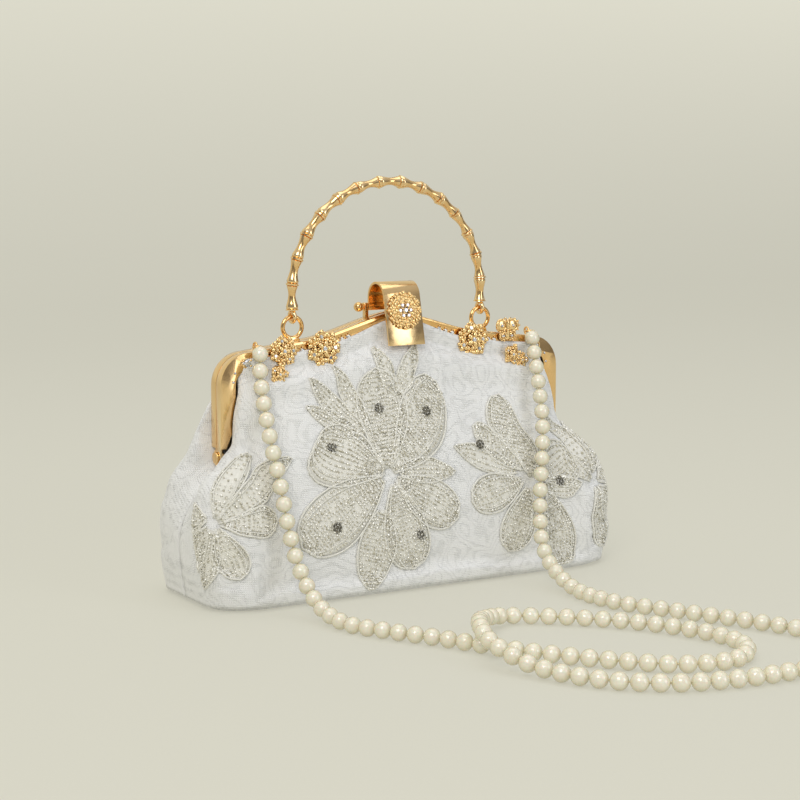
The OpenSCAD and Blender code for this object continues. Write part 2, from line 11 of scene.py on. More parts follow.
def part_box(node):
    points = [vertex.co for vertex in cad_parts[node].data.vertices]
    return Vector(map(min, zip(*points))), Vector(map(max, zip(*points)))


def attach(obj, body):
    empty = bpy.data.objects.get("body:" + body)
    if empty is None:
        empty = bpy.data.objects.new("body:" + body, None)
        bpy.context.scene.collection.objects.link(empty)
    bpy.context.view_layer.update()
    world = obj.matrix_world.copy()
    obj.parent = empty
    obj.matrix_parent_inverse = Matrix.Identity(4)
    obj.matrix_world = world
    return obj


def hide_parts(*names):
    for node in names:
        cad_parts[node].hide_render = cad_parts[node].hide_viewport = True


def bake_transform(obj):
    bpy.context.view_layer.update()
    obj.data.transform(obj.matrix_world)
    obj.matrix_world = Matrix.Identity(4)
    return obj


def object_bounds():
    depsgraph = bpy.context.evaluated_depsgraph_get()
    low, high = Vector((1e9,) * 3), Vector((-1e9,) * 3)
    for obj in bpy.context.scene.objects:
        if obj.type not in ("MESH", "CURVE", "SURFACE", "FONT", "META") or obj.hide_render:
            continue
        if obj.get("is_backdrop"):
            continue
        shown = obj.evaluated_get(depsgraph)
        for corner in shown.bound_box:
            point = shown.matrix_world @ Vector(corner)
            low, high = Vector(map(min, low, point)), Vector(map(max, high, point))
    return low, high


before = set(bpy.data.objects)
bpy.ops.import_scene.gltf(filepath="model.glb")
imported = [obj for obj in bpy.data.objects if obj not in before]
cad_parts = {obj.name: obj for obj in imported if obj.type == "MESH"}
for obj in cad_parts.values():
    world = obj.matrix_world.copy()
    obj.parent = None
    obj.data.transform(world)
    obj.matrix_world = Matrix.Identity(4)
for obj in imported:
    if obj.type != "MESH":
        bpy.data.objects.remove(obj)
cad_box = [list(corner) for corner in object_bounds()]
scene = bpy.context.scene
scene.view_settings.view_transform = "Standard"
MM = 0.001

# ---------------------------------------------------------------- camera
# A long lens at table height, looking at the front from the bag's left.
turn, rise, reach = math.radians(-30.88), math.radians(6.92), 0.97193
towards = Vector((math.sin(turn) * math.cos(rise), -math.cos(turn) * math.cos(rise), math.sin(rise)))
camera = bpy.data.objects.new("camera", bpy.data.cameras.new("camera"))
scene.collection.objects.link(camera)
camera.location = Vector((0, 0, 0.1)) + towards * reach
camera.rotation_euler = (-towards).to_track_quat("-Z", "Y").to_euler()
camera.data.sensor_width, camera.data.lens = 36, 85.75
camera.data.shift_x, camera.data.shift_y = 0.0105, -0.0226
scene.camera = camera


# ---------------------------------------------------------------- table and studio light
# A pale paper sweep: a flat table that curves up into the wall behind, lit by large soft boxes.
def linear(hex_colour):
    """Scene-linear colour of an sRGB hex value"""
    parts = [int(hex_colour[i:i + 2], 16) / 255 for i in (1, 3, 5)]
    return [p / 12.92 if p <= 0.04045 else ((p + 0.055) / 1.055) ** 2.4 for p in parts] + [1]


def add(tree, kind, inputs=(), **settings):
    """Adds a shader node. inputs holds values, or sockets of other nodes to link."""
    node = tree.nodes.new("ShaderNode" + kind)
    for name, value in settings.items():
        setattr(node, name, value)
    for name, value in dict(inputs).items():
        if isinstance(value, bpy.types.NodeSocket):
            tree.links.new(value, node.inputs[name])
        else:
            node.inputs[name].default_value = value
    return node


def start_material(name, **values):
    """A new material, its node tree and its main shader with these values"""
    made = bpy.data.materials.new(name)
    made.use_nodes = True
    shader = made.node_tree.nodes["Principled BSDF"]
    for key, value in values.items():
        shader.inputs[key.replace("_", " ")].default_value = value
    return made, made.node_tree, shader


def emboss(tree, shader, pattern, strength, depth):
    """Raises the surface where the pattern is bright; depth is in metres"""
    bump = add(tree, "Bump", {"Strength": strength, "Distance": depth, "Height": pattern})
    tree.links.new(bump.outputs[0], shader.inputs["Normal"])


def two_tone(tree, shader, pattern, dark, pale):
    """Colours the surface from one sRGB hex value to another as the pattern brightens"""
    tone = add(tree, "Mix", {0: pattern, 6: linear(dark), 7: linear(pale)}, data_type="RGBA")
    tree.links.new(tone.outputs[2], shader.inputs["Base Color"])


def new_piece(name, bm, material, smooth=True, sharp=None):
    """Turns a bmesh into a piece with its material"""
    mesh = bpy.data.meshes.new(name)
    bm.to_mesh(mesh)
    bm.free()
    mesh.materials.append(material)
    if smooth:
        mesh.shade_smooth()
    if sharp:
        mesh.set_sharp_from_angle(angle=math.radians(sharp))
    piece = bpy.data.objects.new(name, mesh)
    scene.collection.objects.link(piece)
    return piece


paper, tree, shader = start_material("seamless_paper", Roughness=0.9, Specular_IOR_Level=0.1)
grain = add(tree, "TexNoise", {"Scale": 900.0, "Detail": 2.0, "Vector": add(tree, "TexCoord").outputs["Object"]})
mixed = add(tree, "Mix", {0: grain.outputs["Fac"], 6: linear("#D9D7C8"), 7: linear("#DCDACB")}, data_type="RGBA")
dimmed = add(tree, "Mix", {0: 0.62, 6: mixed.outputs[2], 7: (0, 0, 0, 1)}, data_type="RGBA")
tree.links.new(dimmed.outputs[2], shader.inputs["Base Color"])
tree.links.new(mixed.outputs[2], shader.inputs["Emission Color"])
rise_up = add(tree, "SeparateXYZ", {0: add(tree, "TexCoord").outputs["Object"]})
glow = add(tree, "MapRange", {"Value": rise_up.outputs["Z"], "To Min": 0.57, "To Max": 0.86})
glow.inputs["From Max"].default_value = 0.6
tree.links.new(glow.outputs[0], shader.inputs["Emission Strength"])
bm = bmesh.new()
sweep_edge = [bm.verts.new((-6, -4, 0)), bm.verts.new((6, -4, 0))]
edges = [bm.edges.new(sweep_edge)]
profile = [Vector((0, 1.2, 0))] + [Vector((0, 1.2 + 1.5 * math.sin(a), 1.5 - 1.5 * math.cos(a)))
                                   for a in [math.radians(9 * i) for i in range(1, 11)]] + [Vector((0, 2.7, 5))]
for point in profile:
    made = bmesh.ops.extrude_edge_only(bm, edges=edges)["geom"]
    for vert in [g for g in made if isinstance(g, bmesh.types.BMVert)]:
        vert.co.y, vert.co.z = point.y, point.z
    edges = [g for g in made if isinstance(g, bmesh.types.BMEdge)
             and abs(g.verts[0].co.y - g.verts[1].co.y) + abs(g.verts[0].co.z - g.verts[1].co.z) < 1e-6]
bmesh.ops.recalc_face_normals(bm, faces=bm.faces)
table = new_piece("table_sweep", bm, paper)
table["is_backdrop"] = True

world = bpy.data.worlds.new("studio")
world.use_nodes = True
scene.world = world
sky = world.node_tree
background = sky.nodes["Background"]
background.inputs["Strength"].default_value = 0.62
upward = add(sky, "SeparateXYZ", {0: add(sky, "TexCoord").outputs["Generated"]})
height = add(sky, "MapRange", {"Value": upward.outputs["Z"], "From Min": -0.2, "From Max": 0.7})
tone = add(sky, "Mix", {0: height.outputs[0], 6: linear("#4E453B"), 7: linear("#F4F6FA")}, data_type="RGBA")
sky.links.new(tone.outputs[2], background.inputs["Color"])


def soft_box(name, place, aim, size, power, colour="#FFFFFF"):
    lamp = bpy.data.lights.new(name, "AREA")
    lamp.shape, lamp.size, lamp.size_y = "RECTANGLE", size[0], size[1]
    lamp.energy, lamp.color = power, linear(colour)[:3]
    holder = bpy.data.objects.new(name, lamp)
    scene.collection.objects.link(holder)
    holder.location = place
    holder.rotation_euler = (Vector(aim) - Vector(place)).to_track_quat("-Z", "Y").to_euler()


soft_box("key_left", (-0.9, -0.9, 1.1), (0, 0, 0.08), (0.7, 0.7), 8.8, "#FFFAF2")
soft_box("top", (0.1, 0.1, 1.4), (0, 0, 0), (1.2, 1.0), 4.2)
soft_box("front_fill", (0.7, -1.4, 0.5), (0, 0, 0.08), (0.6, 0.9), 4.6, "#F4F8FF")

# ---------------------------------------------------------------- pearl strap
# Imitation pearls 8 mm across, strung touching on a waxed thread, with a cap and a jump ring at each end.
# The whole strand shows: it hangs down the front, loops over itself on the table and climbs back.
pearl_d, pearl_pitch = 8 * MM, 8.35 * MM
route = [Vector(p) * MM for p in (
    (-80, -10.1, 119.4), (-82, -14.5, 107), (-84, -26, 85), (-83.5, -36, 62), (-82, -42, 40),
    (-80, -48.5, 22), (-80, -67, 8), (-79, -90, 4), (-70, -112, 4), (-57, -134, 4), (-46, -156, 4),
    (-33, -178, 4), (-14, -203, 4), (8, -224, 4), (33, -229, 4), (51, -214, 4), (52, -190, 4),
    (38, -160, 4), (16, -135, 4), (-8, -119, 4.5), (-30, -131, 8.5), (-46, -152, 12.2), (-54, -174, 10),
    (-49, -198, 5), (-36, -224, 4), (-14, -244, 4), (14, -253, 4), (45, -256, 4), (73, -257, 4),
    (95, -248, 4), (101, -228, 4), (92, -206, 4), (82, -182, 4), (64, -147, 4), (51, -118, 4),
    (51, -86, 5), (56, -57, 16), (62, -44, 39), (72, -31.5, 78), (80, -10.1, 119.4))]


def smooth_route(points, steps):
    """The smooth line through these points, steps to an interval"""
    line = []
    for i in range(len(points) - 1):
        a, b = points[max(0, i - 1)], points[i]
        c, d = points[i + 1], points[min(len(points) - 1, i + 2)]
        for k in range(steps):
            u = k / steps
            line.append(0.5 * (2 * b + u * (c - a) + u * u * (2 * a - 5 * b + 4 * c - d)
                               + u ** 3 * (3 * b - a - 3 * c + d)))
    return line + [points[-1]]


def spaced(line, gap):
    """Points at an even spacing along a line, both ends kept"""
    lengths = [0.0]
    for a, b in zip(line, line[1:]):
        lengths.append(lengths[-1] + (b - a).length)
    count = max(1, round(lengths[-1] / gap))
    out, j = [], 0
    for i in range(count + 1):
        want = lengths[-1] * i / count
        while j < len(line) - 2 and lengths[j + 1] < want:
            j += 1
        span = max(1e-9, lengths[j + 1] - lengths[j])
        out.append(line[j].lerp(line[j + 1], min(1, (want - lengths[j]) / span)))
    return out, lengths[-1]


def sweep(bm, path, radii, sides=8, closed=False):
    """A round bar along a path: a ring of edges carried from point to point without twisting"""
    count = len(path)
    ring = bmesh.ops.create_circle(bm, cap_ends=False, radius=1, segments=sides)["verts"]
    edges = list({e for v in ring for e in v.link_edges})
    first_edges = edges
    side = (path[1] - path[0]).orthogonal()
    before = Matrix.Identity(4)
    for i, point in enumerate(path):
        ahead = path[(i + 1) % count] if closed else path[min(i + 1, count - 1)]
        behind = path[i - 1] if closed or i else path[0]
        along = (ahead - behind).normalized()
        side = (side - side.dot(along) * along).normalized()
        place = Matrix.Translation(point) @ Matrix((side, along.cross(side), along)).transposed().to_4x4() \
            @ Matrix.Scale(radii[i] if hasattr(radii, "__len__") else radii, 4)
        if i:
            made = bmesh.ops.extrude_edge_only(bm, edges=edges)["geom"]
            ring = [g for g in made if isinstance(g, bmesh.types.BMVert)]
            held = set(ring)
            edges = [g for g in made if isinstance(g, bmesh.types.BMEdge) and set(g.verts) <= held]
        bmesh.ops.transform(bm, matrix=place @ before.inverted(), verts=ring)
        before = place
    if closed:
        bmesh.ops.bridge_loops(bm, edges=edges + first_edges)
    else:
        for rim in (first_edges, edges):
            bmesh.ops.edgeloop_fill(bm, edges=rim)


strand, strand_length = spaced(smooth_route(route, 8), pearl_pitch)

# Imitation pearl: glass beads dipped in pearl essence under clear lacquer, so a soft deep gloss with a cream body.
pearl, tree, shader = start_material("lacquered_pearl", Roughness=0.24, IOR=1.6, Coat_Weight=0.9,
                                     Coat_Roughness=0.06, Subsurface_Weight=0.08, Subsurface_Scale=0.002)
here = add(tree, "TexCoord").outputs["Object"]
cloud = add(tree, "TexNoise", {"Scale": 160.0, "Detail": 2.0, "Vector": here})
# painted shade: towards the rim, where the pearl turns away from view, the base colour turns a darker yellow
rim = add(tree, "LayerWeight", {"Blend": 0.35})
body_tone = add(tree, "Mix", {0: cloud.outputs["Fac"], 6: linear("#ECE5CC"), 7: linear("#F7F3E4")}, data_type="RGBA")
tone_with_painted_rim_shade = add(tree, "Mix", {0: rim.outputs["Facing"], 6: body_tone.outputs[2], 7: linear("#C9BD8C")},
                data_type="RGBA")
tree.links.new(tone_with_painted_rim_shade.outputs[2], shader.inputs["Base Color"])
skin = add(tree, "TexNoise", {"Scale": 900.0, "Detail": 1.0, "Vector": here})
emboss(tree, shader, skin.outputs["Fac"], 0.04, 0.0002)

bm = bmesh.new()
for i, point in enumerate(strand):
    along = strand[min(i + 1, len(strand) - 1)] - strand[max(i - 1, 0)]
    stand = Matrix.Translation(point) @ along.to_track_quat("Z", "Y").to_matrix().to_4x4()
    bmesh.ops.create_uvsphere(bm, u_segments=20, v_segments=12, radius=pearl_d / 2, matrix=stand)
pearls = new_piece("strap_pearls", bm, pearl)
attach(pearls, "bag")
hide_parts("pearl_strap")

thread_mat, tree, shader = start_material("waxed_thread", Base_Color=linear("#D8CFAE"), Roughness=0.6)
twist = add(tree, "TexWave", {"Scale": 1200.0, "Vector": add(tree, "TexCoord").outputs["Object"]},
            bands_direction="DIAGONAL")
emboss(tree, shader, twist.outputs["Fac"], 0.5, 0.0001)
bm = bmesh.new()
sweep(bm, strand, 0.5 * MM, sides=6)
thread = new_piece("strap_thread", bm, thread_mat)
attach(thread, "bag")

# ---------------------------------------------------------------- padded outer walls
# Off-white brocade over thin wadding, cut as a front and a back, seamed at the sides and round the base,
# and gathered into the frame. Each wall is a lofted sheet that cloth simulation then puffs and crumples.
half_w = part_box("base_panel")[1].x / MM
half_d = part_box("base_panel")[1].y / MM
frame_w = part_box("front_channel")[1].x / MM
face_y = -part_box("front_channel")[0].y / MM
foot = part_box("base_panel")[1].z / MM + 0.02
flange = 8
leg_in = frame_w - flange - 0.5


def waist(k):
    return half_w + (frame_w - half_w) * k


# Heights run from 0 at the base seam to 1 in the frame; each row is a height and a size in millimetres
widths = ((0, half_w - 0.6), (0.02, half_w), (0.15, half_w + 2.45), (0.33, half_w + 3.5), (0.45, waist(0.034)),
          (0.52, waist(0.448)), (0.6, leg_in + 2.5), (0.66, leg_in), (0.78, leg_in - 1), (0.84, frame_w - 12),
          (0.9, frame_w - 13), (1, frame_w - 13))
depths = ((0, half_d - 0.6), (0.02, half_d), (0.15, half_d * 1.04), (0.33, half_d * 0.97), (0.5, half_d * 0.82),
          (0.66, half_d * 0.61), (0.8, half_d * 0.42), (0.88, 9), (0.925, 4.2), (1, 4.2))
seams = ((0, 0), (0.5, 0), (0.56, face_y + 0.7), (0.88, face_y + 0.7), (0.925, 1.6), (1, 1.6))
notches = ((0, 0), (0.25, 0), (0.4, 6), (0.52, waist(0.448) - leg_in), (0.6, 3), (0.68, 0), (1, 0))
straight_end, corner_end, corner_w = 0.72, 0.9, 24


# The back wall bulges past the legs of the frame, where the front one is drawn in beside them
back_widths = ((0, half_w - 0.6), (0.02, half_w), (0.15, half_w + 2.45), (0.33, half_w + 3.5), (0.47, waist(0.034)),
               (0.56, waist(0.448)), (0.64, waist(0.724)), (0.74, frame_w), (0.82, frame_w - 5), (0.9, frame_w - 13),
               (1, frame_w - 13))
back_notches = ((0, 0), (0.25, 0), (0.42, 6), (0.5, half_w - frame_w + 1.5), (0.56, waist(0.448) - leg_in),
                (0.64, waist(0.724) - leg_in), (0.74, frame_w - leg_in), (0.82, flange - 4.5), (0.9, 0), (1, 0))


def look_up(table, at):
    for (t0, a), (t1, b) in zip(table, table[1:]):
        if at <= t1:
            return a + (b - a) * (at - t0) / (t1 - t0)
    return table[-1][1]


def eased(table, at):
    """A table read with its corners rounded off"""
    return sum(look_up(table, min(1, max(0, at + d))) for d in (-0.04, -0.02, 0, 0.02, 0.04)) / 5


def rail_height(x):
    x = abs(x)
    crest = 5.5 * (1 + math.cos(math.pi * x / 50)) / 2 if x < 50 else 0
    return 120 + 0.13 * (frame_w - 16 - x) + crest


def on_wall(s, t, inward=0.0, behind=False):
    """Point of the front wall: s from the left seam (-1) to the right (1), t from base to frame, in metres.
    behind gives the back wall's shape, still in front."""
    w = eased(back_widths if behind else widths, t) - inward
    y0 = eased(seams, t)
    d = max(0, (eased(depths, t) if t < 0.86 else look_up(depths, t)) - y0 - inward)
    ry, rx, a = min(16, 0.8 * d), min(corner_w, w / 3), abs(s)
    sign = -1 if s < 0 else 1
    z = foot + t * (rail_height(88 * min(1, a / 0.8)) - 2.2 - foot)
    if a <= straight_end:
        return Vector((sign * a / straight_end * (w - rx), -y0 - d, z)) * MM
    if a <= corner_end:
        c = math.radians(90 * (a - straight_end) / (corner_end - straight_end))
        return Vector((sign * (w - rx + rx * math.sin(c)), -y0 - d + ry * (1 - math.cos(c)), z)) * MM
    k = (a - corner_end) / (1 - corner_end)
    notch = eased(back_notches if behind else notches, t)
    return Vector((sign * (w - notch * k), -y0 - (d - ry) * (1 - k), z)) * MM


COLS, ROWS = 120, 56


def wall_sheet(inward, low, high, cols=COLS, rows=ROWS):
    """A grid laid on the wall, and the parameters of its vertices"""
    sheet = bmesh.new()
    bmesh.ops.create_grid(sheet, x_segments=cols, y_segments=rows, size=1)
    sheet.verts.ensure_lookup_table()
    spots = [(v.co.x, low + (high - low) * (v.co.y + 1) / 2) for v in sheet.verts]
    for vert, (s, t) in zip(sheet.verts, spots):
        vert.co = on_wall(s, t, inward)
    bmesh.ops.recalc_face_normals(sheet, faces=sheet.faces)
    if sum(f.normal.y for f in sheet.faces) > 0:
        bmesh.ops.reverse_faces(sheet, faces=sheet.faces)
    return sheet, spots


# Jacquard brocade: a matt ground with glossy raised scrolls of the same off-white, about 0.25 mm proud
brocade, tree, shader = start_material("woven_brocade", Roughness=0.62, Sheen_Weight=0.25, Sheen_Roughness=0.4,
                                       Specular_IOR_Level=0.35)
here = add(tree, "TexCoord").outputs["Object"]
# scrolls: contour lines of a slow field, some 9 mm apart, bent by a finer one
bend = add(tree, "TexNoise", {"Scale": 110.0, "Detail": 1.0, "Vector": here})
bent = add(tree, "VectorMath", {0: here, 1: add(tree, "VectorMath", {0: bend.outputs["Color"], 3: 0.007},
                                               operation="SCALE").outputs[0]}, operation="ADD")
field = add(tree, "TexNoise", {"Scale": 84.0, "Detail": 0.0, "Vector": bent.outputs[0]})
rings = add(tree, "Math", {0: field.outputs["Fac"], 1: 7.0}, operation="MULTIPLY")
saw = add(tree, "Math", {0: rings.outputs[0], 1: 0.5}, operation="PINGPONG")
line = add(tree, "MapRange", {"Value": saw.outputs[0], "From Min": 0.12, "From Max": 0.2, "To Min": 1.0,
                              "To Max": 0.0}, interpolation_type="SMOOTHSTEP")
leaf_cells = add(tree, "TexVoronoi", {"Scale": 150.0, "Vector": bent.outputs[0]}, feature="SMOOTH_F1")
leaf = add(tree, "MapRange", {"Value": leaf_cells.outputs["Distance"], "From Min": 0.2, "From Max": 0.3,
                              "To Min": 1.0, "To Max": 0.0}, interpolation_type="SMOOTHSTEP")
figure = add(tree, "Math", {0: line.outputs[0], 1: leaf.outputs[0]}, operation="MAXIMUM")
# threads: 0.25 mm apart on the real cloth, drawn 0.45 mm apart so that they show
warp = add(tree, "TexWave", {"Scale": 350.0, "Distortion": 0.6, "Vector": here}, bands_direction="X")
weft = add(tree, "TexWave", {"Scale": 350.0, "Distortion": 0.6, "Vector": here}, bands_direction="Z")
threads = add(tree, "Math", {0: warp.outputs["Fac"], 1: weft.outputs["Fac"]}, operation="MULTIPLY")
drift = add(tree, "TexNoise", {"Scale": 12.0, "Detail": 3.0, "Vector": here})
ground = add(tree, "Mix", {0: drift.outputs["Fac"], 6: linear("#E9EAEA"), 7: linear("#F3F3F1")}, data_type="RGBA")
figured = add(tree, "Mix", {0: add(tree, "Math", {0: figure.outputs[0], 1: 0.3}, operation="MULTIPLY").outputs[0],
                            6: ground.outputs[2], 7: linear("#DCDDDB")}, data_type="RGBA")
tree.links.new(figured.outputs[2], shader.inputs["Base Color"])
gloss = add(tree, "MapRange", {"Value": figure.outputs[0], "To Min": 0.7, "To Max": 0.42})
tree.links.new(gloss.outputs[0], shader.inputs["Roughness"])
relief = add(tree, "Math", {0: figure.outputs[0], 1: threads.outputs[0]}, operation="MULTIPLY_ADD")
relief.inputs[1].default_value = 1.0
tree.links.new(threads.outputs[0], relief.inputs[2])
emboss(tree, shader, relief.outputs[0], 0.6, 0.0003)

sheet, spots = wall_sheet(0, 0, 1)
rest = [v.co.copy() for v in sheet.verts]
cloth_piece = new_piece("front_wall", sheet, brocade)
held = cloth_piece.vertex_groups.new(name="held")
for i, (s, t) in enumerate(spots):
    grip = max(0, 1 - t / 0.03, (t - 0.9) / 0.04, (abs(s) - 0.965) / 0.03)
    held.add([i], min(1, grip), "REPLACE")
cloth = cloth_piece.modifiers.new("Cloth", "CLOTH")
cloth.settings.quality = 6
cloth.settings.mass = 0.25
cloth.settings.tension_stiffness = cloth.settings.compression_stiffness = 22
cloth.settings.shear_stiffness = 8
cloth.settings.bending_stiffness = 0.6
cloth.settings.vertex_group_mass = "held"
cloth.settings.use_pressure = True
cloth.settings.uniform_pressure_force = 1.6
cloth.settings.shrink_min = -0.035
cloth.settings.effector_weights.gravity = 0.25
cloth.point_cache.frame_start, cloth.point_cache.frame_end = 1, 22
for step in range(1, 23):
    scene.frame_set(step)
shaped = cloth_piece.evaluated_get(bpy.context.evaluated_depsgraph_get()).data
moved = [v.co.copy() for v in shaped.vertices]
cloth_piece.modifiers.remove(cloth)
scene.frame_set(1)
# wadding keeps the cloth from sinking in, and holds it to about 3 mm either way
out_ways = [v.normal.copy() for v in cloth_piece.data.vertices]
lift = sum((now - was).dot(n) for was, now, n in zip(rest, moved, out_ways)) / len(rest)
for vert, was, now, n in zip(cloth_piece.data.vertices, rest, moved, out_ways):
    step = now - was
    step += n * (max(step.dot(n) - min(0, lift) * 0.9, -0.8 * MM) - step.dot(n))
    vert.co = was + step * min(1, 3.2 * MM / max(step.length, 1e-9))
puffed = [v.co.copy() for v in cloth_piece.data.vertices]


# The grid remembers where each height and width ended up, so that the lace can follow it
def on_cloth(s, t, out=0.0):
    """Point of the finished front wall and its outward direction, out metres proud of it"""
    across, up = (s + 1) / 2 * COLS, t * ROWS
    i, j = min(COLS - 1, max(0, int(across))), min(ROWS - 1, max(0, int(up)))
    u, v = across - i, up - j
    row = COLS + 1
    p00, p10 = puffed[j * row + i], puffed[j * row + i + 1]
    p01, p11 = puffed[(j + 1) * row + i], puffed[(j + 1) * row + i + 1]
    point = p00.lerp(p10, u).lerp(p01.lerp(p11, u), v)
    normal = (p11 - p00).cross(p01 - p10).normalized()
    return point + normal * out, normal


def creased(s, t):
    """How far a soft fold pushes the cloth out (+) or in (-), in metres"""
    gather = math.exp(-((0.93 - t) / 0.07) ** 2) * noise.noise(Vector((s * 26, t * 3, 1.7))) * 1.1
    drag = math.exp(-((abs(s) - 0.9) / 0.05) ** 2) * math.exp(-((t - 0.5) / 0.22) ** 2) \
        * noise.noise(Vector((s * 9, t * 14, 4.1))) * 1.6
    slack = noise.noise(Vector((s * 5.5 + 3, t * 2.6, 7.7))) * 1.3 * math.sin(math.pi * min(1, t / 0.9))
    low = math.exp(-((t - 0.16) / 0.1) ** 2) * noise.noise(Vector((s * 8, t * 7, 9.2))) * 1.1
    return (gather + drag + slack + low) * MM


normals = [v.normal.copy() for v in cloth_piece.data.vertices]
for i, (vert, (s, t)) in enumerate(zip(cloth_piece.data.vertices, spots)):
    free = min(1, max(0, (0.96 - t) / 0.05)) * min(1, t / 0.05) * min(1, (1 - abs(s)) / 0.03)
    vert.co += normals[i] * creased(s, t) * free
puffed = [v.co.copy() for v in cloth_piece.data.vertices]

bm = bmesh.new()
bm.from_mesh(cloth_piece.data)
for vert, was, (s, t) in zip(bm.verts, rest, spots):
    vert.co = on_wall(s, t, behind=True) + vert.co - was
bmesh.ops.transform(bm, matrix=Matrix.Diagonal((1, -1, 1, 1)), verts=bm.verts)
bmesh.ops.reverse_faces(bm, faces=bm.faces)
back_piece = new_piece("back_wall", bm, brocade)
for piece in (cloth_piece, back_piece):
    wall = piece.modifiers.new("wadding", "SOLIDIFY")
    wall.thickness, wall.offset = 1.6 * MM, -1
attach(cloth_piece, "bag")
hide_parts("front_panel")
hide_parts("back_panel", "back_panel_mouth")
back_piece.vertex_groups.clear()
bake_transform(back_piece)

# ---------------------------------------------------------------- base
# The same brocade over a stiff board, sewn to both walls in a plain seam, with a softly rounded edge.
bm = bmesh.new()
line = [on_wall(-1 + 2 * i / 72, 0) for i in range(73)]
loop = [Vector((p.x, p.y, 0)) for p in line] + [Vector((p.x, -p.y, 0)) for p in reversed(line[1:-1])]
rim = [bm.verts.new(p) for p in loop]
floor_face = bm.faces.new(rim)
made = bmesh.ops.extrude_face_region(bm, geom=[floor_face])["geom"]
top = [g for g in made if isinstance(g, bmesh.types.BMVert)]
bmesh.ops.translate(bm, vec=(0, 0, 2.9 * MM), verts=top)
bmesh.ops.recalc_face_normals(bm, faces=bm.faces)
bottom_edges = [e for e in bm.edges if all(v.co.z < 1e-6 for v in e.verts) and len(e.link_faces) == 2]
bmesh.ops.bevel(bm, geom=bottom_edges, offset=1.6 * MM, segments=3, affect="EDGES", profile=0.5, material=-1)
base = new_piece("base_pad", bm, brocade, sharp=50)
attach(base, "bag")
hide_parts("base_panel")

# ---------------------------------------------------------------- hinged frame
# Two channels folded from brass sheet, buffed and plated pale gold, joined by rivets through round ears.
# Edges are rounded by the buffing wheel; faint polishing lines run along the metal.
gold, tree, shader = start_material("pale_gold_plate", Metallic=1.0, Roughness=0.17)
here = add(tree, "TexCoord").outputs["Object"]
patch = add(tree, "TexNoise", {"Scale": 70.0, "Detail": 3.0, "Vector": here})
plate = add(tree, "Mix", {0: patch.outputs["Fac"], 6: linear("#E8B468"), 7: linear("#F8D49A")}, data_type="RGBA")
# painted highlight: convex edges are coloured a paler gold, standing in for the light they catch
edge_convexity = add(tree, "NewGeometry").outputs["Pointiness"]
painted_edge_highlight = add(tree, "MapRange", {"Value": edge_convexity, "From Min": 0.52, "From Max": 0.62})
edge = add(tree, "Mix", {0: painted_edge_highlight.outputs[0], 6: plate.outputs[2], 7: linear("#FBE3B4")}, data_type="RGBA")
tree.links.new(edge.outputs[2], shader.inputs["Base Color"])
haze = add(tree, "TexNoise", {"Scale": 260.0, "Detail": 4.0, "Vector": here})
tree.links.new(add(tree, "MapRange", {"Value": haze.outputs["Fac"], "From Min": 0.3, "From Max": 0.8, "To Min": 0.12,
                                      "To Max": 0.24}).outputs[0], shader.inputs["Roughness"])
ripple = add(tree, "TexNoise", {"Scale": 110.0, "Detail": 2.0, "Vector": here})
emboss(tree, shader, ripple.outputs["Fac"], 0.22, 0.0005)


def softened(node, name, material, offset, segments=2, angle=32, body="bag"):
    """A copy of a CAD piece with its doubles merged and its sharp edges rounded"""
    copy = bmesh.new()
    copy.from_mesh(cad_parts[node].data)
    bmesh.ops.remove_doubles(copy, verts=copy.verts, dist=2e-6)
    bmesh.ops.dissolve_limit(copy, angle_limit=math.radians(0.6), verts=copy.verts, edges=copy.edges)
    hard = [e for e in copy.edges if len(e.link_faces) == 2 and e.calc_face_angle(0) > math.radians(angle)]
    bmesh.ops.bevel(copy, geom=hard, offset=offset, segments=segments, affect="EDGES", profile=0.5, material=-1,
                    clamp_overlap=True)
    made = new_piece(name, copy, material, sharp=30)
    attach(made, body)
    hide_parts(node)
    return made


softened("front_channel", "front_frame", gold, 0.35 * MM)
softened("back_channel", "back_frame_channel", gold, 0.35 * MM, body="back_frame")
softened("hinge_rivets", "rivets", gold, 0.3 * MM)
softened("front_trim_strip", "rail_trim", gold, 0.12 * MM)
for node, body in (("left_strap_eye", "bag"), ("right_strap_eye", "bag"), ("left_jump_ring", "bag"),
                   ("right_jump_ring", "bag"), ("left_bead_cap", "bag"), ("right_bead_cap", "bag"),
                   ("left_handle_lug", "back_frame"), ("right_handle_lug", "back_frame"),
                   ("clasp_bracket", "back_frame"), ("clasp_pin", "back_frame"), ("clasp_pin_knobs", "back_frame")):
    softened(node, node + "_metal", gold, 0.12 * MM, body=body)
softened("clasp_tongue", "tongue_plate", gold, 0.3 * MM, body="clasp")

# ---------------------------------------------------------------- carrying handle
# A cast bar in the form of bamboo: swelling joints with a collar, waisted and slightly faceted in between.
# Its eyes turn on the tops of the two ring lugs.
low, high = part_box("handle")
tube_r = 2.7 * MM
arch_r = (high.x - low.x) / 2 - tube_r
arch_z = high.z - tube_r - arch_r
bar_y = (low.y + high.y) / 2
eye_z = low.z + 3.7 * MM
ferrule = 3.2 * MM                      # from the eye's middle to the foot of the bar
leg = arch_z - eye_z - ferrule
whole = 2 * leg + math.pi * arch_r
knots = 15


def on_handle(along):
    """Point of the bar's middle, from the left eye (0) to the right one (1)"""
    d = along * whole
    if d < leg:
        return Vector((-arch_r, bar_y, eye_z + ferrule + d))
    if d > whole - leg:
        return Vector((arch_r, bar_y, eye_z + ferrule + whole - d))
    angle = (d - leg) / arch_r
    return Vector((-arch_r * math.cos(angle), bar_y, arch_z + arch_r * math.sin(angle)))


